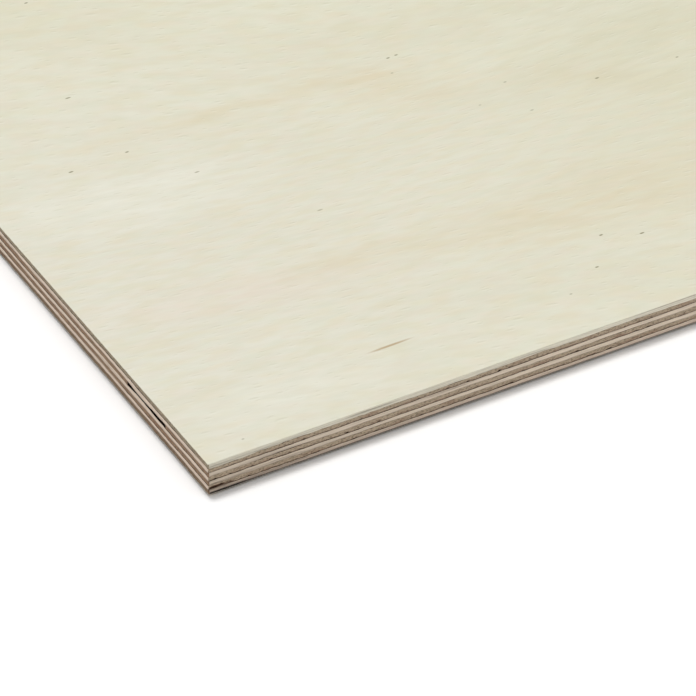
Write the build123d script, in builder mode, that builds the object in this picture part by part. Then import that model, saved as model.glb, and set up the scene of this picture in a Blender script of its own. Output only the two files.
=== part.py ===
"""Seven-ply plywood sheet, lying flat on its back ply.

Veneers are stacked with their grain crossed: face, core and back plies run along X, and the
crossbands run along Y. The origin is under the middle of the sheet, with Z up. Millimetres.
"""
import os

from build123d import *

# Cut size of the sheet, with the face grain along its length
sheet_length = 1200.0
sheet_width = 600.0

# Thickness of each kind of veneer after pressing and sanding
face_veneer = 1.3
back_veneer = 1.3
cross_veneer = 1.3
core_veneer = 1.25

# Gap between two strips of the upper core ply, open at one short edge and narrowing inwards
gap_offset = 22.0  # from the near long edge to the gap
gap_width = 20.0  # at the short edge
gap_depth = 64.0  # along the grain, into the sheet
gap_tip_width = 7.0  # at its blind end
crossband_sag = 0.3  # how far each crossband swells into the gap at its middle
sag_tip = 0.08  # the same at the gap's blind end

# Top of each ply above the floor, from the back up
back_top = back_veneer
lower_cross_top = back_top + cross_veneer
lower_core_top = lower_cross_top + core_veneer
centre_cross_top = lower_core_top + cross_veneer
upper_core_top = centre_cross_top + core_veneer
upper_cross_top = upper_core_top + cross_veneer

# Where the gap opens on the short edge, and the line down its middle
short_edge = -sheet_length / 2
gap_middle = -sheet_width / 2 + gap_offset + gap_width / 2


def sheet_outline():
    """The cut outline that every ply shares."""
    return Rectangle(sheet_length, sheet_width)


def sag_section(plane, chord, rise):
    """A shallow arch standing on a chord, upwards where the rise is positive."""
    with BuildSketch(plane) as section:
        with BuildLine():
            arc = ThreePointArc((-chord / 2, 0), (0, rise), (chord / 2, 0))
            Line(arc @ 1, arc @ 0)
        make_face()
    return section.sketch.face()


def crossband_swell(level, direction):
    """Wood that swells into the gap from a crossband's surface, up for 1 and down for -1."""
    mouth = Plane(origin=(short_edge, gap_middle, level), x_dir=(0, 1, 0), z_dir=(1, 0, 0))
    mouth_arch = sag_section(mouth, gap_width, direction * crossband_sag)
    tip_arch = sag_section(mouth.offset(gap_depth), gap_tip_width, direction * sag_tip)
    return loft([mouth_arch, tip_arch], ruled=True)


with BuildPart() as face_ply:
    with BuildSketch(Plane.XY.offset(upper_cross_top)):
        sheet_outline()
    extrude(amount=face_veneer)

with BuildPart() as upper_crossband:
    with BuildSketch(Plane.XY.offset(upper_core_top)):
        sheet_outline()
    extrude(amount=cross_veneer)
    crossband_swell(upper_core_top, -1)

with BuildPart() as upper_core_ply:
    with BuildSketch(Plane.XY.offset(centre_cross_top)):
        sheet_outline()
        with BuildLine():
            Polyline(
                (short_edge, gap_middle - gap_width / 2),
                (short_edge + gap_depth, gap_middle - gap_tip_width / 2),
                (short_edge + gap_depth, gap_middle + gap_tip_width / 2),
                (short_edge, gap_middle + gap_width / 2),
                close=True,
            )
        make_face(mode=Mode.SUBTRACT)
    extrude(amount=core_veneer)

with BuildPart() as centre_crossband:
    with BuildSketch(Plane.XY.offset(lower_core_top)):
        sheet_outline()
    extrude(amount=cross_veneer)
    crossband_swell(centre_cross_top, 1)

with BuildPart() as lower_core_ply:
    with BuildSketch(Plane.XY.offset(lower_cross_top)):
        sheet_outline()
    extrude(amount=core_veneer)

with BuildPart() as lower_crossband:
    with BuildSketch(Plane.XY.offset(back_top)):
        sheet_outline()
    extrude(amount=cross_veneer)

with BuildPart() as back_ply:
    with BuildSketch():
        sheet_outline()
    extrude(amount=back_veneer)

plies = {
    "face_ply": face_ply,
    "upper_crossband": upper_crossband,
    "upper_core_ply": upper_core_ply,
    "centre_crossband": centre_crossband,
    "lower_core_ply": lower_core_ply,
    "lower_crossband": lower_crossband,
    "back_ply": back_ply,
}
os.makedirs("parts", exist_ok=True)
for ply_name, ply in plies.items():
    ply.part.label = ply_name
    export_step(ply.part, f"parts/{ply_name}.step")
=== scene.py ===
import math

import bpy
import numpy as np
from mathutils import Matrix, Vector


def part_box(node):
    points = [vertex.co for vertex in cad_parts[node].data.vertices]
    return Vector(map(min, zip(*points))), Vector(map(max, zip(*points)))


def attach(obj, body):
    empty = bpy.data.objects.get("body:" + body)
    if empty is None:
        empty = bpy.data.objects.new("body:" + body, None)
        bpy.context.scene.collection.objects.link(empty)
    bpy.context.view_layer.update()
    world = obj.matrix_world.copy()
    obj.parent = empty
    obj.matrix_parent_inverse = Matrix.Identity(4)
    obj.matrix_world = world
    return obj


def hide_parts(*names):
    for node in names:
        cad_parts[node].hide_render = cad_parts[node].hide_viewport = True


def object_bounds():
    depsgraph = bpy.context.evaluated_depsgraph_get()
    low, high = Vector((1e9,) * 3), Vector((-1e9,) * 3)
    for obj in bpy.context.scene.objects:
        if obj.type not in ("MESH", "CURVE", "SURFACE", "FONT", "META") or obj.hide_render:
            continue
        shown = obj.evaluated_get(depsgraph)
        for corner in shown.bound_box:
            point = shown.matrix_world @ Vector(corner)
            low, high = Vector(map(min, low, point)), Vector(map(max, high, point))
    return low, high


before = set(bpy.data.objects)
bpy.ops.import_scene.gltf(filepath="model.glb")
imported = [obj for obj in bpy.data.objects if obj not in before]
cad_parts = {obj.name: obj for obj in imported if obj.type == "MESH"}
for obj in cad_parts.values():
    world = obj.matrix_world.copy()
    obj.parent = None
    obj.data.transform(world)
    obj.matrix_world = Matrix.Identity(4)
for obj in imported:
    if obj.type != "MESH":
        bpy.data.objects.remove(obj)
cadLow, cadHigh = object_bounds()
mm = 0.001

# Level of every glue line and of both faces, in mm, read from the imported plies
plyOrder = [
    "back_ply", "lower_crossband", "lower_core_ply", "centre_crossband",
    "upper_core_ply", "upper_crossband", "face_ply",
]
flatNodes = ["back_ply", "lower_core_ply", "upper_core_ply", "face_ply"]
levels = np.array([corner.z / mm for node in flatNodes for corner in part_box(node)])
halfLength, halfWidth = cadHigh.x / mm, cadHigh.y / mm
print("plies from", levels[0], "to", levels[-1], "mm")

# Where the photo was taken from, as its near top corner and its two edges fix it
photoView = {
    "cornerPixel": (207.6, 464.9),
    "imagePixels": 696,
    "focalPixels": 3400.0,
    "yaw": 29.9,  # degrees off the sheet's width, turned towards its length
    "pitch": 36.3,  # degrees down
    "cornerDepth": 0.8,  # metres along the view to the corner
}


def viewAxes(view):
    yaw, pitch = math.radians(view["yaw"]), math.radians(view["pitch"])
    level = Vector((math.sin(yaw), math.cos(yaw), 0))
    forward = level * math.cos(pitch) - Vector((0, 0, math.sin(pitch)))
    right = Vector((math.cos(yaw), -math.sin(yaw), 0))
    return right, right.cross(forward), forward


# A pixel's line of sight: one step forward, with the pixel's offset over the focal length
def pixelRay(view, pixel):
    right, up, forward = viewAxes(view)
    middle = view["imagePixels"] / 2
    across = (pixel[0] - middle) / view["focalPixels"]
    rise = (middle - pixel[1]) / view["focalPixels"]
    return forward + right * across + up * rise


def addCamera(view):
    nearCorner = Vector((cadLow.x, cadLow.y, cadHigh.z))
    eye = nearCorner - pixelRay(view, view["cornerPixel"]) * view["cornerDepth"]
    right, up, forward = viewAxes(view)
    data = bpy.data.cameras.new("photoCamera")
    data.sensor_width = 36
    data.lens = view["focalPixels"] / view["imagePixels"] * data.sensor_width
    data.clip_start, data.clip_end = 0.05, 20
    camera = bpy.data.objects.new("photoCamera", data)
    turn = Matrix((right, up, -forward)).transposed().to_4x4()
    camera.matrix_world = Matrix.Translation(eye) @ turn
    bpy.context.collection.objects.link(camera)
    bpy.context.scene.camera = camera
    return eye


eye = addCamera(photoView)
print("camera at", [round(c, 3) for c in eye])


# Where a pixel's line of sight meets the good face, in mm
def pixelOnFace(pixel):
    ray = pixelRay(photoView, pixel)
    hit = eye + ray * ((cadHigh.z - eye.z) / ray.z)
    return hit.x / mm, hit.y / mm


def linear(hexColour):
    parts = [int(hexColour[i:i + 2], 16) / 255 for i in (1, 3, 5)]
    return tuple(c / 12.92 if c <= 0.04045 else ((c + 0.055) / 1.055) ** 2.4 for c in parts) + (1,)


# Adds a node and gives one of its outputs. Inputs go in by number or by name: a socket is
# linked, and anything else is set on the input itself.
def addNode(tree, kind, inputs=(), out=0, **settings):
    node = tree.nodes.new("ShaderNode" + kind)
    for name, value in settings.items():
        setattr(node, name, value)
    pairs = inputs.items() if isinstance(inputs, dict) else enumerate(inputs)
    for name, value in pairs:
        if isinstance(value, bpy.types.NodeSocket):
            tree.links.new(value, node.inputs[name])
        else:
            node.inputs[name].default_value = value
    return node.outputs[out]


# Settings that recur: a mix of two colours, and a ramp that eases in and out
asColour = {"out": 2, "data_type": "RGBA"}
eased = {"interpolation_type": "SMOOTHSTEP"}


def newMaterial(name):
    material = bpy.data.materials.new(name)
    material.use_nodes = True
    tree = material.node_tree
    return material, tree, tree.nodes["Principled BSDF"]


# Random values on a lattice of cells, eased between neighbours by a cubic in both directions
def latticeNoise(along, up, cellAlong, cellUp, seed):
    a = (np.asarray(along, float) + 1000) / cellAlong  # so that no place on the sheet is negative
    b = np.asarray(up, float) / cellUp
    i, j = np.floor(a).astype(int), np.floor(b).astype(int)
    fa, fb = a - i, b - j
    fa, fb = fa * fa * (3 - 2 * fa), fb * fb * (3 - 2 * fb)
    table = np.random.default_rng(seed).random((i.max() + 2, j.max() + 2))
    low = table[i, j] * (1 - fa) + table[i + 1, j] * fa
    high = table[i, j + 1] * (1 - fa) + table[i + 1, j + 1] * fa
    return low * (1 - fb) + high * fb


# 0 at the start, 1 at the end, and an eased climb between them
def easeStep(value, start, end):
    t = np.clip((value - start) / (end - start), 0, 1)
    return t * t * (3 - 2 * t)


outlineSettings = {
    "fineStep": 0.35,  # mm between cross-sections near the photo's corner
    "coarseStep": 1.5,  # mm between them on the far edges
    "fineReach": 235,  # mm from the corner that the fine step holds
    "fade": 90,  # mm over which the step grows
    "probe": 0.1,  # mm between the places where the step is added up
}


# Even steps of a stretched length, so that points crowd near the photo's corner
def runStations(start, end):
    start, end = np.array(start, float), np.array(end, float)
    length = np.linalg.norm(end - start)
    s = outlineSettings
    t = np.linspace(0, 1, max(3, int(length / s["probe"])))
    points = start + (end - start) * t[:, None]
    away = np.hypot(points[:, 0] + halfLength, points[:, 1] + halfWidth)
    growth = easeStep(away, s["fineReach"], s["fineReach"] + s["fade"])
    step = s["fineStep"] + (s["coarseStep"] - s["fineStep"]) * growth
    density = np.concatenate([[0], np.cumsum((1 / step[1:] + 1 / step[:-1]) / 2 * np.diff(t) * length)])
    count = max(2, int(round(density[-1])))
    where = np.interp(np.arange(count) / count * density[-1], density, t)
    return start + (end - start) * where[:, None]


# Walks the corners anticlockwise and gives every point its outward normal. A corner point takes
# both of its runs' normals, so that it moves in from both sides at once.
def walkOutline(corners):
    points, normals, runs = [], [], []
    for n, start in enumerate(corners):
        end = corners[(n + 1) % len(corners)]
        before = corners[n - 1]
        station = runStations(start, end)
        ahead = np.subtract(end, start) / np.linalg.norm(np.subtract(end, start))
        behind = np.subtract(start, before) / np.linalg.norm(np.subtract(start, before))
        normal = np.tile([ahead[1], -ahead[0]], (len(station), 1))
        normal[0] += [behind[1], -behind[0]]
        points.append(station)
        normals.append(normal)
        runs.append(np.full(len(station), n))
    return np.concatenate(points), np.concatenate(normals), np.concatenate(runs)


sheetCorners = [
    (-halfLength, -halfWidth), (halfLength, -halfWidth), (halfLength, halfWidth), (-halfLength, halfWidth),
]

# The gap in the upper core ply: its mouth lies on the short edge and its tip inside the sheet
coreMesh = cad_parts["upper_core_ply"].data
corePoints = {(round(v.co.x / mm, 2), round(v.co.y / mm, 2)) for v in coreMesh.vertices}
gapPoints = sorted(p for p in corePoints if abs(p[1]) < halfWidth - 1 and abs(p[0] - halfLength) > 1)
gapMouth, gapTip = gapPoints[:2], gapPoints[2:4]
print("gap mouth", gapMouth, "tip", gapTip)

edgeSettings = {
    "rows": 9,  # cross-section rows up each ply
    "glueWander": 0.15,  # mm that a glue line strays up and down
    "faceWander": 0.2,  # mm that the line under the face veneer strays
    "cornerDip": 0.28,  # mm that this line dips beside the near corner
    "sawnLeast": 0.04,  # mm that end grain is cut back all over
    "sawnPits": 0.1,  # mm, fuzz of end grain
    "tearOut": 0.22,  # mm, deepest tear in end grain
    "undercut": 0.02,  # mm that a crossband's sawn edge falls back at its foot
    "longRipple": 0.05,  # mm, ripple of long grain
    "splinter": 0.16,  # mm, deepest lifted splinter in long grain
    "topEase": 0.1,  # mm, worn top edge
    "bottomEase": 0.2,  # mm, broken bottom edge
    "gapSag": 0.38,  # mm that each crossband swells into the gap
    "bruiseReach": 8,  # mm from the near corner that its foot is crushed along the long edge
    "bruise": 0.5,  # mm deep
}


# Height of a glue line or face at each point: its level plus a slow and a quick wander. The line
# under the face veneer also dips for 16 mm along the long edge from the near corner.
def glueLine(index, points):
    run = points[:, 0] - points[:, 1]
    if index in (0, len(levels) - 1):
        return np.full(len(points), levels[index])
    still = np.zeros(len(points))
    slow = latticeNoise(run, still, 11, 1, 40 + index) - 0.5
    quick = latticeNoise(run, still, 1.7, 1, 60 + index) - 0.5
    underFace = index == len(levels) - 2
    wander = edgeSettings["faceWander" if underFace else "glueWander"]
    along = points[:, 0] + halfLength
    onLongEdge = points[:, 1] < 0.1 - halfWidth
    dip = underFace * onLongEdge * easeStep(along, 0, 2) * easeStep(along, 16, 8)
    return levels[index] + wander * (1.1 * slow + 0.9 * quick) - edgeSettings["cornerDip"] * dip


# How far the crossbands swell into the gap: nothing at its sides, most past its middle
def gapSwell(points):
    t = np.clip((points[:, 1] - gapMouth[0][1]) / (gapMouth[1][1] - gapMouth[0][1]), 0, 1)
    rise = (0.38 + 0.55 * easeStep(t, 0.15, 0.62)) * easeStep(t, 0, 0.05) * easeStep(t, 0.97, 0.74)
    return edgeSettings["gapSag"] * rise * (points[:, 0] < gapMouth[0][0] + 1)


# How far a sawn edge is cut back, in mm, and how torn it is, from 0 to 1; the torn share also
# darkens the colour, as dirt and painted shade in the hollows. End grain is fuzzy with short deep
# tears, most of them at a crossband's foot; long grain has a shallow ripple and a few long
# splinters. The share is the height within the ply.
def sawnDepth(name, run, height, share, endGrain, seed):
    e = edgeSettings
    fuzz = latticeNoise(run, height, 0.8, 0.35, seed)
    tears = easeStep(latticeNoise(run, height, 1.0, 0.45, seed + 1), 0.72, 1.0)
    rough = e["sawnPits"] * fuzz + e["sawnLeast"]
    if "crossband" in name:
        foot = easeStep(share, 0.45, 0.05)
        tears = tears * (0.2 + 0.8 * foot)
        rough = rough + e["undercut"] * easeStep(share, 0.7, 0.0)
    else:
        tears = tears * 0.2
    ripple = latticeNoise(run, height, 16, 0.3, seed + 2)
    lifted = easeStep(latticeNoise(run, height, 24, 0.4, seed + 3), 0.72, 0.95)
    smooth = e["longRipple"] * ripple + e["splinter"] * lifted
    depth = np.where(endGrain, rough + e["tearOut"] * tears, smooth)
    tornDirtAndShade = np.where(endGrain, tears, 0.4 * lifted)
    return depth, tornDirtAndShade


# The crushed foot of the near corner: a hollow at one glue line that dies away along the edge
def bruisedCorner(points, height):
    e = edgeSettings
    along = np.abs(points[:, 0] + halfLength)
    onLongEdge = points[:, 1] < 0.1 - halfWidth
    near = easeStep(along, e["bruiseReach"], 0.5 * e["bruiseReach"]) * onLongEdge
    ragged = 0.5 + latticeNoise(along, height, 1.6, 0.5, 91)
    line = easeStep(np.abs(height - levels[1] - 0.15), 0.75, 0.2)
    return np.clip(near * ragged * line, 0, 1)


# Slots of a dressed ply, in the order of its materials
longSlot, endSlot, lowerSlot, upperSlot, gapSlot = range(5)


# One ply as a closed band round its outline, rows up and stations along, with a cap on each end
def makePly(name, index, grain, corners, materials):
    points, normals, runs = walkOutline(corners)
    count = len(points)
    run = points[:, 0] - points[:, 1]
    lower, upper = glueLine(index, points), glueLine(index + 1, points)
    if name == "upper_crossband":
        lower = lower - gapSwell(points)
    if name == "centre_crossband":
        upper = upper + gapSwell(points)
    share = np.linspace(0, 1, edgeSettings["rows"])
    # Closer rows where an arris is worn
    if name == "face_ply":
        share = np.concatenate([share[:-1], [0.94, 0.975, 0.993, 1.0]])
    if name == "back_ply":
        share = np.concatenate([[0.0, 0.015, 0.05, 0.1, 0.17, 0.25], share[3:]])
    share = share[:, None]
    height = lower + (upper - lower) * share
    # Grain that points out of the edge is cut across; 0 is along the sheet and 1 across it
    endGrain = np.abs(normals[:, grain]) > 0.9
    wideRun = np.broadcast_to(run, height.shape)
    depth, tornDirtAndShade = sawnDepth(name, wideRun, height, share, endGrain, 200 + 10 * index)
    if index < 2:
        hollow = bruisedCorner(points, height)
        depth = depth + edgeSettings["bruise"] * hollow
        # The hollow is also painted dark in the colour, as painted shade and dirt
        tornDirtAndShade = np.maximum(tornDirtAndShade, hollow)
    still = np.zeros(count)
    if name == "face_ply":
        worn = edgeSettings["topEase"] * (0.4 + 1.2 * latticeNoise(run, still, 4, 1, 11))
        near = np.clip(1 - (levels[-1] - height) / worn, 0, 1)
        depth = depth * (1 - 0.7 * near) + worn * (1 - np.sqrt(1 - near**2))
    if name == "back_ply":
        worn = edgeSettings["bottomEase"] * (0.6 + 0.8 * latticeNoise(run, still, 9, 1, 12))
        # Less of it on end grain and by the near corner
        fromCorner = np.hypot(points[:, 0] + halfLength, points[:, 1] + halfWidth)
        worn = worn * np.where(endGrain, 0.5, 1) * (0.3 + 0.7 * easeStep(fromCorner, 8, 30))
        near = np.clip(1 - (height - levels[0]) / worn, 0, 1)
        depth = depth + worn * (1 - np.sqrt(1 - near**2))
    x = points[:, 0] - normals[:, 0] * depth
    y = points[:, 1] - normals[:, 1] * depth
    vertices = np.stack([x, y, height], axis=2).reshape(-1, 3) * mm
    rows = len(share)
    here = np.arange(count)
    ahead = (here + 1) % count
    first = (np.arange(rows - 1) * count)[:, None]
    quads = np.stack([first + here, first + ahead, first + count + ahead, first + count + here], axis=2)
    quads = quads.reshape(-1, 4)
    bottomCap = here[::-1].tolist()
    topCap = (here + (rows - 1) * count).tolist()
    mesh = bpy.data.meshes.new(name + "_dressed")
    mesh.from_pydata(vertices.tolist(), [], quads.tolist() + [bottomCap, topCap])
    inGap = (runs >= len(sheetCorners)) & (runs < len(corners) - 1)
    slots = np.tile(np.where(inGap, gapSlot, np.where(endGrain, endSlot, longSlot)), (rows - 1, 1))
    if name == "face_ply":
        slots[-3:] = upperSlot  # the worn rim is sanded with the face
    slots = np.concatenate([slots.ravel(), [lowerSlot, upperSlot]])
    mesh.polygons.foreach_set("material_index", slots.astype(np.int32))
    smooth = np.ones(len(quads) + 2, bool)
    smooth[-2:] = False  # both caps are flat
    mesh.polygons.foreach_set("use_smooth", smooth)
    for title, values in (("plyHeight", np.repeat(share.ravel(), count)), ("tornDirtAndShade", tornDirtAndShade.ravel())):
        layer = mesh.attributes.new(title, "FLOAT", "POINT")
        layer.data.foreach_set("value", values.astype(np.float32))
    for material in materials:
        mesh.materials.append(material)
    mesh.update()
    ply = bpy.data.objects.new(name + "_dressed", mesh)
    bpy.context.collection.objects.link(ply)
    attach(ply, "root")
    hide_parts(name)
    print(name, len(mesh.vertices), "points")


# Object coordinates in mm
def millimetres(tree):
    coords = addNode(tree, "TexCoord", out="Object")
    return addNode(tree, "VectorMath", {0: coords, "Scale": 1 / mm}, operation="SCALE")


# A cloud of the given size in mm along X, Y and Z of the coordinates handed in. The offset is
# counted in clouds, and sets one pattern apart from another.
def cloud(tree, coords, size, offset=(0, 0, 0), detail=2.0):
    scale = tuple(1 / s for s in size)
    placed = addNode(tree, "Mapping", {"Vector": coords, "Location": offset, "Scale": scale})
    return addNode(tree, "TexNoise", {"Vector": placed, "Scale": 1.0, "Detail": detail})


# Short dashes along X, one to a cell at most: an ellipse at each chosen cell's own point. The
# radius is a share of the cell. Each dash has 0.5 to 1.2 of it, and 0.4 to 1 of full strength.
def dashes(tree, coords, cell, share, radius, offset):
    scale = tuple(1 / s for s in cell)
    placed = addNode(tree, "Mapping", {"Vector": coords, "Location": offset, "Scale": scale})
    cells = addNode(tree, "TexVoronoi", {"Vector": placed, "Scale": 1.0}, "Color", voronoi_dimensions="2D")
    away = cells.node.outputs["Distance"]
    chance = addNode(tree, "SeparateColor", [cells])
    chosen = addNode(tree, "Math", [chance, share], operation="LESS_THAN")
    second, third = chance.node.outputs[1], chance.node.outputs[2]
    size = addNode(tree, "Math", [second, radius * 0.7, radius * 0.5], operation="MULTIPLY_ADD")
    reach = addNode(tree, "Math", [away, size], operation="DIVIDE")
    body = addNode(tree, "MapRange", [reach, 1.0, 0.3], **eased)
    strength = addNode(tree, "Math", [third, 0.6, 0.4], operation="MULTIPLY_ADD")
    kept = addNode(tree, "Math", [body, chosen], operation="MULTIPLY")
    return addNode(tree, "Math", [kept, strength], operation="MULTIPLY")


# 1 well inside an ellipse on the good face and 0 outside. Its length is turned by the angle.
def softEllipse(tree, coords, middle, length, width, turn, core):
    placing = {
        "Vector": coords, "Location": (*middle, levels[-1]), "Rotation": (0, 0, turn),
        "Scale": (length / 2, width / 2, halfLength),
    }
    unit = addNode(tree, "Mapping", placing, vector_type="TEXTURE")
    away = addNode(tree, "VectorMath", [unit], "Value", operation="LENGTH")
    return addNode(tree, "MapRange", [away, 1.2, core], **eased)


# Marks that the photo shows on the good face, placed by the pixels of their middle or ends
faceMarks = {
    # Pin knots: pixel, strength and length along the grain in mm
    "pinKnots": [
        (26, 3, 1.0, 1.3), (68, 98, 0.9, 1.9), (127, 152, 0.9, 1.3), (71, 172, 1.0, 1.6),
        (197, 172, 0.65, 1.7), (320, 210, 0.55, 1.9), (388, 58, 1.0, 1.3), (396, 55, 0.9, 1.3),
        (392, 73, 0.5, 1.0), (505, 82, 0.55, 1.2), (597, 78, 1.0, 1.5), (677, 57, 0.7, 1.1),
        (480, 105, 0.4, 1.0), (532, 110, 0.5, 1.3), (601, 235, 1.0, 1.3), (642, 233, 1.0, 1.6),
        (597, 267, 0.9, 1.3), (571, 294, 0.5, 1.0), (243, 439, 0.45, 0.9),
    ],
    "pinWidth": 0.6,  # mm across it
    "streakEnds": ((366, 354), (414, 337)),
    "streakWidth": 0.95,  # mm
    "streakColour": "#bda888",
    # Bands of the grain, and one broad dull band that darkens the face towards its far corner: tone,
    # both ends, width in mm and strength
    "bands": [
        ("pale", (-20, 232), (290, 160), 34, 0.7), ("pale", (150, 440), (430, 350), 26, 0.6),
        ("pale", (470, 40), (720, -20), 20, 0.4), ("rose", (60, 330), (420, 262), 22, 0.6),
        ("warm", (50, 158), (335, 84), 12, 0.5), ("warm", (250, 92), (450, 68), 18, 0.65),
        ("warm", (330, 96), (500, 92), 20, 0.5), ("warm", (450, 74), (730, 80), 16, 0.45),
        ("warm", (240, 284), (480, 232), 15, 0.5), ("warm", (390, 246), (660, 196), 30, 0.5),
        ("warm", (500, 218), (790, 150), 44, 0.5), ("dull", (430, 20), (790, 20), 130, 0.6),
    ],
    "warm": "#dccfaf",
    "pale": "#ebeadc",
    "rose": "#e5d8c8",
    "dull": "#d6d3b8",
    "bandSway": 8,  # mm that a band strays to the side
    "swaySize": (45, 12, 50),  # mm along the sheet, across it and through it
    "breakSize": (13, 3.2, 50),  # mm, patches where a band is fainter
    "shownMiddle": (345, 200),  # what the photo shows of the face
    "shownSize": (420, 420),  # mm
    "nearMiddle": (60, 330),  # the paler near corner
    "nearSize": (460, 345),  # mm
    "nearStrength": 0.6,
    "nearColour": "#e6e3d8",
}

# Figure that both faces have. Sizes are in mm along the grain, across it and through the sheet.
veneerFigure = {
    "wanderSize": (260, 120, 50),
    "wander": 60,  # mm that the grain strays to the side
    "broadSize": (110, 26, 50),  # pale wood and cool wood by turns
    "blotches": [
        ("rose", (8, 3.5, 50), (71, 5, 0)), ("green", (7, 4, 50), (11, 40, 0)),
        ("straw", (9, 3.5, 50), (23, 61, 0)),
    ],
    "blotchStrength": 0.24,
    "bandSize": (130, 16, 50),
    "bandStrength": 0.45,
    "pinCell": (34, 15, 1),  # mm of room to each pin knot
    "pinShare": 0.45,  # of the cells that have one
    "pinRadius": 0.024,
    "mottleSize": (11, 2.6, 50),
    "mottleStrength": 0.07,
    "fibreSize": (4, 0.8, 50),
    "fibreStrength": 0.05,
    # Vessels: cell, share of the cells that have one, offset, and how far over its lit lip lies
    "vessels": [((12, 2.6, 1), 0.6, (0.2, 0.7, 0), 0.2), ((7, 1.9, 1), 0.45, (4, 3, 0), 0.24)],
    "vesselRadius": 0.16,
    "vesselStrength": 0.25,
    "lipStrength": 0.3,
}

faceFinish = {
    "pale": "#dedbc3",  # cream that most of the face reads as
    "cool": "#e3e1cb",  # paler wood between the bands
    "green": "#dadec7",
    "rose": "#e5d6c0",
    "straw": "#e0d6b2",
    "fleck": "#bdb89c",
    "glint": "#efedde",  # lit lips of the vessels
    "pin": "#85805f",
    "grainTurn": 0.13,  # radians that the grain runs off the long edge
    "roughness": 0.6,
}

# The back veneer is a lower grade, browner and duller, as its edge shows
backFinish = {
    "pale": "#c4b398",
    "cool": "#cfc0a6",
    "green": "#bcae8f",
    "rose": "#c6ab8f",
    "straw": "#c8b288",
    "fleck": "#9a876b",
    "glint": "#d3c5ac",
    "pin": "#5e4d37",
    "grainTurn": -0.04,
    "roughness": 0.7,
}


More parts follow.
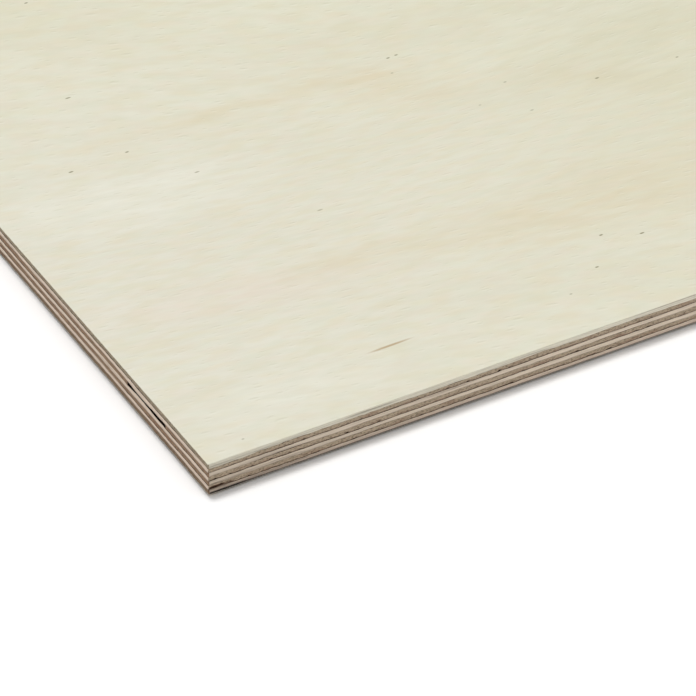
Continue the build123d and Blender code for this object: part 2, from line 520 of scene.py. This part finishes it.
# Sanded rotary-cut hardwood veneer, unfinished: pale and matt, with warm bands, vessel flecks
# along the grain, pin knots and, on the good face, one mineral streak
def sandedFace(name, f, marks):
    material, tree, shader = newMaterial(name)
    v = veneerFigure
    coords = millimetres(tree)
    # The grain runs a little off the edge and wanders
    bend = addNode(tree, "CombineXYZ", {1: cloud(tree, coords, v["wanderSize"], (1, 2, 0), 0.0)})
    reach = (v["wander"], v["wander"], 0)
    bent = addNode(tree, "VectorMath", [bend, reach, coords], operation="MULTIPLY_ADD")
    grainwise = addNode(tree, "Mapping", {"Vector": bent, "Rotation": (0, 0, f["grainTurn"])})
    broad = cloud(tree, grainwise, v["broadSize"], (3, 8, 0), 1.0)
    share = addNode(tree, "MapRange", [broad, 0.3, 0.7], **eased)
    colour = addNode(tree, "Mix", {0: share, 6: linear(f["pale"]), 7: linear(f["cool"])}, **asColour)
    if marks:
        near = softEllipse(tree, coords, pixelOnFace(marks["nearMiddle"]), *marks["nearSize"], 0.0, 0.0)
        near = addNode(tree, "Math", [near, marks["nearStrength"]], operation="MULTIPLY")
        colour = addNode(tree, "Mix", {0: near, 6: colour, 7: linear(marks["nearColour"])}, **asColour)
    for tone, size, offset in v["blotches"]:
        patch = cloud(tree, grainwise, size, offset, 1.0)
        share = addNode(tree, "MapRange", [patch, 0.4, 0.7, 0.0, v["blotchStrength"]], **eased)
        colour = addNode(tree, "Mix", {0: share, 6: colour, 7: linear(f[tone])}, **asColour)
    # The photo's own bands and pins lie near its corner, and the rest of the sheet has their like
    figure = cloud(tree, grainwise, v["bandSize"], (7, 3, 0), 2.0)
    figure = addNode(tree, "MapRange", [figure, 0.5, 0.7, 0.0, v["bandStrength"]], **eased)
    pins = dashes(tree, grainwise, v["pinCell"], v["pinShare"], v["pinRadius"], (8, 2, 0))
    if marks:
        shown = softEllipse(tree, coords, pixelOnFace(marks["shownMiddle"]), *marks["shownSize"], 0.0, 0.6)
        elsewhere = addNode(tree, "Math", [1.0, shown], operation="SUBTRACT")
        figure = addNode(tree, "Math", [figure, elsewhere], operation="MULTIPLY")
        pins = addNode(tree, "Math", [pins, elsewhere], operation="MULTIPLY")
    colour = addNode(tree, "Mix", {0: figure, 6: colour, 7: linear(f["straw"])}, **asColour)
    if marks:
        shift = addNode(tree, "CombineXYZ", {1: cloud(tree, coords, marks["swaySize"], (9, 9, 0), 1.0)})
        reach = (marks["bandSway"], marks["bandSway"], 0)
        swayed = addNode(tree, "VectorMath", [shift, reach, coords], operation="MULTIPLY_ADD")
        broken = cloud(tree, grainwise, marks["breakSize"], (5, 5, 0), 1.0)
        broken = addNode(tree, "MapRange", [broken, 0.35, 0.62, 0.45, 1.0])
        for tone, start, end, width, strength in marks["bands"]:
            start, end = Vector(pixelOnFace(start)), Vector(pixelOnFace(end))
            along = end - start
            middle = (start + end) / 2 + Vector((0, marks["bandSway"] / 2))
            turn = math.atan2(along.y, along.x)
            band = softEllipse(tree, swayed, middle, along.length, width, turn, 0.0)
            share = addNode(tree, "Math", [band, strength], operation="MULTIPLY")
            share = addNode(tree, "Math", [share, broken], operation="MULTIPLY")
            colour = addNode(tree, "Mix", {0: share, 6: colour, 7: linear(marks[tone])}, **asColour)
    mottle = cloud(tree, grainwise, v["mottleSize"], (31, 2, 0), 1.0)
    share = addNode(tree, "MapRange", [mottle, 0.62, 0.35, 0.0, v["mottleStrength"]], **eased)
    colour = addNode(tree, "Mix", {0: share, 6: colour, 7: linear(f["fleck"])}, **asColour)
    # Fibres and vessels are hair thin; they are drawn 0.3 to 0.8 mm wide so that they show
    fibre = cloud(tree, grainwise, v["fibreSize"], (0, 0, 0), 1.0)
    share = addNode(tree, "MapRange", [fibre, 0.62, 0.3, 0.0, v["fibreStrength"]], **eased)
    colour = addNode(tree, "Mix", {0: share, 6: colour, 7: linear(f["fleck"])}, **asColour)
    # Each vessel is a dark dash with a lit lip beside it, which is the same pattern moved over
    for cell, share, offset, lip in v["vessels"]:
        moved = (offset[0], offset[1] + lip, 0)
        lit = dashes(tree, grainwise, cell, share, v["vesselRadius"], moved)
        dark = dashes(tree, grainwise, cell, share, v["vesselRadius"], offset)
        for body, strength, tone in ((lit, "lipStrength", "glint"), (dark, "vesselStrength", "fleck")):
            share = addNode(tree, "Math", [body, v[strength]], operation="MULTIPLY")
            colour = addNode(tree, "Mix", {0: share, 6: colour, 7: linear(f[tone])}, **asColour)
    colour = addNode(tree, "Mix", {0: pins, 6: colour, 7: linear(f["pin"])}, **asColour)
    if marks:
        for *pixel, strength, length in marks["pinKnots"]:
            pin = softEllipse(tree, coords, pixelOnFace(pixel), length, marks["pinWidth"], 0.0, 0.4)
            pin = addNode(tree, "Math", [pin, strength], operation="MULTIPLY")
            colour = addNode(tree, "Mix", {0: pin, 6: colour, 7: linear(f["pin"])}, **asColour)
        start, end = (Vector(pixelOnFace(p)) for p in marks["streakEnds"])
        along = end - start
        turn = math.atan2(along.y, along.x)
        streak = softEllipse(tree, coords, (start + end) / 2, along.length, marks["streakWidth"], turn, 0.3)
        colour = addNode(tree, "Mix", {0: streak, 6: colour, 7: linear(marks["streakColour"])}, **asColour)
    tree.links.new(colour, shader.inputs["Base Color"])
    shader.inputs["Roughness"].default_value = f["roughness"]
    shader.inputs["Specular IOR Level"].default_value = 0.3
    relief = addNode(tree, "Math", [fibre, dark], operation="SUBTRACT")  # the smaller vessels
    bump = addNode(tree, "Bump", {"Height": relief, "Distance": 0.02 * mm, "Strength": 0.4})
    tree.links.new(bump, shader.inputs["Normal"])
    return material


# Run along the edge and height in mm, so that one pattern serves all four edges
def edgeCoords(tree):
    parts = addNode(tree, "SeparateXYZ", [millimetres(tree)])
    run = addNode(tree, "Math", [parts, parts.node.outputs[1]], operation="SUBTRACT")
    return addNode(tree, "CombineXYZ", {0: run, 2: parts.node.outputs[2]})


# What the saw leaves, the same for every veneer. Sizes are in mm along the edge, through it and
# up it, and tones are shares of the wood's own.
sawnFinish = {
    "streakSize": (9, 1, 0.3),
    "streakTone": 0.84,
    "nearReach": 110,  # mm from the photo's corner over which long grain pales from its near tone
    "poreSize": (0.75, 1, 0.32),  # vessels are about 0.1 mm, drawn coarser so that they show
    "poreTone": 0.5,
    "paleSize": (8, 1, 0.4),
    "paleTone": 1.2,
    "paleStrength": 0.7,
    "rustSize": (7, 1, 1.2),
    "rustStrength": 0.4,
    "rust": "#9a6f5c",
    "glueSize": (3.5, 1, 2),
    "glueStrength": 0.65,
    "glue": "#8a705a",
    "tornDirtAndShade": "#5d4434",
}


# Share of glue brown at each height in the ply: full at a glue line and gone at its reach. A
# reach of 0 is a side with no glue.
def glueStain(tree, coords, reachBelow, reachAbove):
    height = addNode(tree, "Attribute", out="Fac", attribute_name="plyHeight")
    uneven = cloud(tree, coords, sawnFinish["glueSize"], (40, 0, 0))
    uneven = addNode(tree, "MapRange", [uneven, 0.25, 0.6, 0.55, 1.0])
    stain = 0.0
    if reachBelow:
        stain = addNode(tree, "MapRange", [height, reachBelow, 0.0], **eased)
    if reachAbove:
        above = addNode(tree, "MapRange", [height, 1 - reachAbove, 1.0], **eased)
        stain = addNode(tree, "Math", [above, stain], operation="MAXIMUM")
    uneven = addNode(tree, "Math", [uneven, sawnFinish["glueStrength"]], operation="MULTIPLY")
    return addNode(tree, "Math", [stain, uneven], operation="MULTIPLY")


# Colours of each veneer where it is sawn, and how far the glue stains it from below and above,
# as a share of its thickness
veneers = {
    "face_ply": {
        "longGrain": "#fff7e2", "longStain": (0.1, 0), "nearTone": 0.88,
        "endGrain": "#b4a58c", "endStain": (0.12, 0),
    },
    "crossband": {
        "longGrain": "#ffebd6", "longStain": (0.42, 0.15), "nearTone": 1.0,
        "endGrain": "#cab69c", "endStain": (0.32, 0),
    },
    "core_ply": {
        "longGrain": "#fdebd5", "longStain": (0.21, 0.16), "nearTone": 0.86,
        "endGrain": "#ad8f74", "endStain": (0.1, 0.55),
    },
    "back_ply": {
        "longGrain": "#f4e0cb", "longStain": (0, 0.15), "nearTone": 0.78, "shadedDirtyFoot": True,
        "endGrain": "#99826a", "endStain": (0, 0.5),
    },
}

# Painted contact shade, with some dirt, on the lower arris of the long edges. It thins away from the
# near corner, whose own foot is painted near black as shade. Heights are shares of the ply.
footShadeAndDirt = {
    "height": 0.38,
    "farStrength": 0.6,
    "colour": "#3c2e22",
    "cornerHeight": 0.6,
    "cornerFull": 8,  # mm from the corner over which it is at its darkest
    "cornerReach": 26,  # mm from the corner where it ends
    "cornerColour": "#1a120c",
}


# Sawn long grain: creamy, faintly streaked along the edge, browner where the glue has bled in
def sawnLongGrain(name, settings):
    material, tree, shader = newMaterial("longGrain" + name)
    s = sawnFinish
    coords = edgeCoords(tree)
    wood = linear(settings["longGrain"])
    darker = tuple(s["streakTone"] * c for c in wood[:3]) + (1,)
    streaks = cloud(tree, coords, s["streakSize"], (2, 0, 0), 3.0)
    share = addNode(tree, "MapRange", [streaks, 0.6, 0.38], **eased)
    colour = addNode(tree, "Mix", {0: share, 6: wood, 7: darker}, **asColour)
    along = addNode(tree, "SeparateXYZ", [millimetres(tree)])
    nearEnd = s["nearReach"] - halfLength
    tone = addNode(tree, "MapRange", [along, -halfLength, nearEnd, settings["nearTone"], 1.0])
    colour = addNode(tree, "VectorMath", {0: colour, "Scale": tone}, operation="SCALE")
    stain = glueStain(tree, coords, *settings["longStain"])
    colour = addNode(tree, "Mix", {0: stain, 6: colour, 7: linear(s["glue"])}, **asColour)
    # Painted contact shade with some dirt at the back ply's foot, near black by the near corner
    if settings.get("shadedDirtyFoot"):
        d = footShadeAndDirt
        height = addNode(tree, "Attribute", out="Fac", attribute_name="plyHeight")
        foot = addNode(tree, "MapRange", [height, d["height"], 0.4 * d["height"]])
        cornerFalloff = addNode(tree, "MapRange", [along, -halfLength, nearEnd, 1.0, d["farStrength"]])
        foot = addNode(tree, "Math", [foot, cornerFalloff], operation="MULTIPLY")
        cornerFoot = addNode(tree, "MapRange", [height, d["cornerHeight"], 0.5 * d["cornerHeight"]])
        full, reach = d["cornerFull"] - halfLength, d["cornerReach"] - halfLength
        cornerFalloff = addNode(tree, "MapRange", [along, full, reach, 1.0, 0.0])
        cornerFoot = addNode(tree, "Math", [cornerFoot, cornerFalloff], operation="MULTIPLY")
        foot = addNode(tree, "Math", [foot, cornerFoot], operation="MAXIMUM")
        tones = {0: cornerFoot, 6: linear(d["colour"]), 7: linear(d["cornerColour"])}
        footTone = addNode(tree, "Mix", tones, **asColour)
        colour = addNode(tree, "Mix", {0: foot, 6: colour, 7: footTone}, **asColour)
    # Tears and splinters painted darker: dirt and painted shade in the hollows
    tornDirtAndShade = addNode(tree, "Attribute", out="Fac", attribute_name="tornDirtAndShade")
    colour = addNode(tree, "Mix", {0: tornDirtAndShade, 6: colour, 7: linear(s["tornDirtAndShade"])}, **asColour)
    tree.links.new(colour, shader.inputs["Base Color"])
    shader.inputs["Roughness"].default_value = 0.7
    shader.inputs["Specular IOR Level"].default_value = 0.25
    bump = addNode(tree, "Bump", {"Height": streaks, "Distance": 0.04 * mm, "Strength": 0.5})
    tree.links.new(bump, shader.inputs["Normal"])
    return material


# Sawn end grain: open vessels drink the light, so it reads brown and speckled, with torn hollows
# painted darker as dirt and shade
def sawnEndGrain(name, settings):
    material, tree, shader = newMaterial("endGrain" + name)
    s = sawnFinish
    coords = edgeCoords(tree)
    wood = linear(settings["endGrain"])
    darker = tuple(s["poreTone"] * c for c in wood[:3]) + (1,)
    paler = tuple(min(1, s["paleTone"] * c) for c in wood[:3]) + (1,)
    pores = cloud(tree, coords, s["poreSize"], (0, 0, 0), 2.0)
    share = addNode(tree, "MapRange", [pores, 0.55, 0.34], **eased)
    colour = addNode(tree, "Mix", {0: share, 6: wood, 7: darker}, **asColour)
    pale = cloud(tree, coords, s["paleSize"], (6, 0, 0), 3.0)
    share = addNode(tree, "MapRange", [pale, 0.5, 0.7, 0.0, s["paleStrength"]], **eased)
    colour = addNode(tree, "Mix", {0: share, 6: colour, 7: paler}, **asColour)
    rusty = cloud(tree, coords, s["rustSize"], (9, 0, 0), 2.0)
    share = addNode(tree, "MapRange", [rusty, 0.5, 0.72, 0.0, s["rustStrength"]], **eased)
    colour = addNode(tree, "Mix", {0: share, 6: colour, 7: linear(s["rust"])}, **asColour)
    stain = glueStain(tree, coords, *settings["endStain"])
    colour = addNode(tree, "Mix", {0: stain, 6: colour, 7: linear(s["glue"])}, **asColour)
    # Tears painted darker: dirt and painted shade in the hollows
    tornDirtAndShade = addNode(tree, "Attribute", out="Fac", attribute_name="tornDirtAndShade")
    colour = addNode(tree, "Mix", {0: tornDirtAndShade, 6: colour, 7: linear(s["tornDirtAndShade"])}, **asColour)
    tree.links.new(colour, shader.inputs["Base Color"])
    shader.inputs["Roughness"].default_value = 0.85
    shader.inputs["Specular IOR Level"].default_value = 0.15
    bump = addNode(tree, "Bump", {"Height": pores, "Distance": 0.08 * mm, "Strength": 0.6})
    tree.links.new(bump, shader.inputs["Normal"])
    return material


resinAndGapShadeFinish = {
    "dark": "#1e1008",
    "paler": "#3a2518",
    "runSize": (9, 2.5, 2.5),  # mm
    "roughness": 0.9,
    "specular": 0.05,
}


# Veneer soaked in resin glue, near black so that it also paints the shade inside the gap, with a few paler
# runs
def resinAndGapShadeVeneer():
    material, tree, shader = newMaterial("resinGluedVeneerAndGapShade")
    r = resinAndGapShadeFinish
    runs = cloud(tree, millimetres(tree), r["runSize"], (0, 0, 0), 2.0)
    share = addNode(tree, "MapRange", [runs, 0.5, 0.75], **eased)
    colour = addNode(tree, "Mix", {0: share, 6: linear(r["dark"]), 7: linear(r["paler"])}, **asColour)
    tree.links.new(colour, shader.inputs["Base Color"])
    shader.inputs["Roughness"].default_value = r["roughness"]
    shader.inputs["Specular IOR Level"].default_value = r["specular"]
    return material


face = sandedFace("sandedFaceVeneer", faceFinish, faceMarks)
back = sandedFace("sandedBackVeneer", backFinish, {})
resinAndGapShade = resinAndGapShadeVeneer()
alongGrain, acrossGrain = 0, 1
for kind, settings in veneers.items():
    longGrain = sawnLongGrain(kind.title(), settings)
    endGrain = sawnEndGrain(kind.title(), settings)
    for index, name in enumerate(plyOrder):
        if not name.endswith(kind):
            continue
        corners = list(sheetCorners)
        if name == "upper_core_ply":
            corners += [gapMouth[1], gapTip[1], gapTip[0], gapMouth[0]]
        lowerCap = back if name == "back_ply" else resinAndGapShade
        upperCap = face if name == "face_ply" else resinAndGapShade
        grain = acrossGrain if kind == "crossband" else alongGrain
        makePly(name, index, grain, corners, [longGrain, endGrain, lowerCap, upperCap, resinAndGapShade])

studio = {
    "floorColour": "#ececec",
    "floorSeen": 1.09,  # share of light that the camera sees it return, so that it is white
    "floorReach": 12,  # metres from the sheet's middle to each side
    "floorDrop": 0.8,  # mm that the floor lies under the sheet, whose corner is bowed clear of it
    "skyLow": 0.05,  # the room is dim at floor level and bright overhead
    "skyHigh": 0.86,
    "keyStrength": 1.31,
    "keySpread": 13,  # degrees, a softbox seen from the sheet
    "keyFrom": (0.01, 0.18, 1.0),
}


# 1 for a camera ray, a mirror ray or a ray through glass, and 0 for all other light
def seenDirectly(tree):
    rays = addNode(tree, "LightPath", out="Is Camera Ray")
    mirror = addNode(tree, "Math", [rays, rays.node.outputs["Is Glossy Ray"]], operation="MAXIMUM")
    return addNode(tree, "Math", [mirror, rays.node.outputs["Is Transmission Ray"]], operation="MAXIMUM")


# Pale matt floor. To the camera it is white where nothing shades it.
def addFloor():
    material, tree, shader = newMaterial("paleStudioFloor")
    seen = seenDirectly(tree)
    white = (studio["floorSeen"],) * 3 + (1,)
    colours = {0: seen, 6: linear(studio["floorColour"]), 7: white}
    colour = addNode(tree, "Mix", colours, **asColour)
    matt = addNode(tree, "BsdfDiffuse", [colour])
    tree.links.new(matt, tree.nodes["Material Output"].inputs["Surface"])
    tree.nodes.remove(shader)
    size, depth = studio["floorReach"], -studio["floorDrop"] * mm
    points = [(-size, -size, depth), (size, -size, depth), (size, size, depth), (-size, size, depth)]
    mesh = bpy.data.meshes.new("studioFloor")
    mesh.from_pydata(points, [], [(0, 1, 2, 3)])
    mesh.materials.append(material)
    floor = bpy.data.objects.new("studioFloor", mesh)
    bpy.context.collection.objects.link(floor)


def addLights():
    world = bpy.data.worlds.new("studioSky")
    bpy.context.scene.world = world
    world.use_nodes = True
    tree = world.node_tree
    white = tree.nodes["Background"]
    white.inputs["Color"].default_value = (1, 1, 1, 1)
    rise = addNode(tree, "SeparateXYZ", [addNode(tree, "TexCoord")]).node.outputs[2]
    strength = addNode(tree, "MapRange", [rise, 0.0, 1.0, studio["skyLow"], studio["skyHigh"]])
    sky = addNode(tree, "Background", [(1, 1, 1, 1), strength])
    mix = addNode(tree, "MixShader", [seenDirectly(tree), sky, white.outputs[0]])
    tree.links.new(mix, tree.nodes["World Output"].inputs["Surface"])
    data = bpy.data.lights.new("keyLight", "SUN")
    data.energy = studio["keyStrength"]
    data.angle = math.radians(studio["keySpread"])
    key = bpy.data.objects.new("keyLight", data)
    key.rotation_euler = Vector(studio["keyFrom"]).to_track_quat("Z", "Y").to_euler()
    bpy.context.collection.objects.link(key)


addFloor()
addLights()
bpy.context.scene.view_settings.view_transform = "Standard"
print("floor and light")
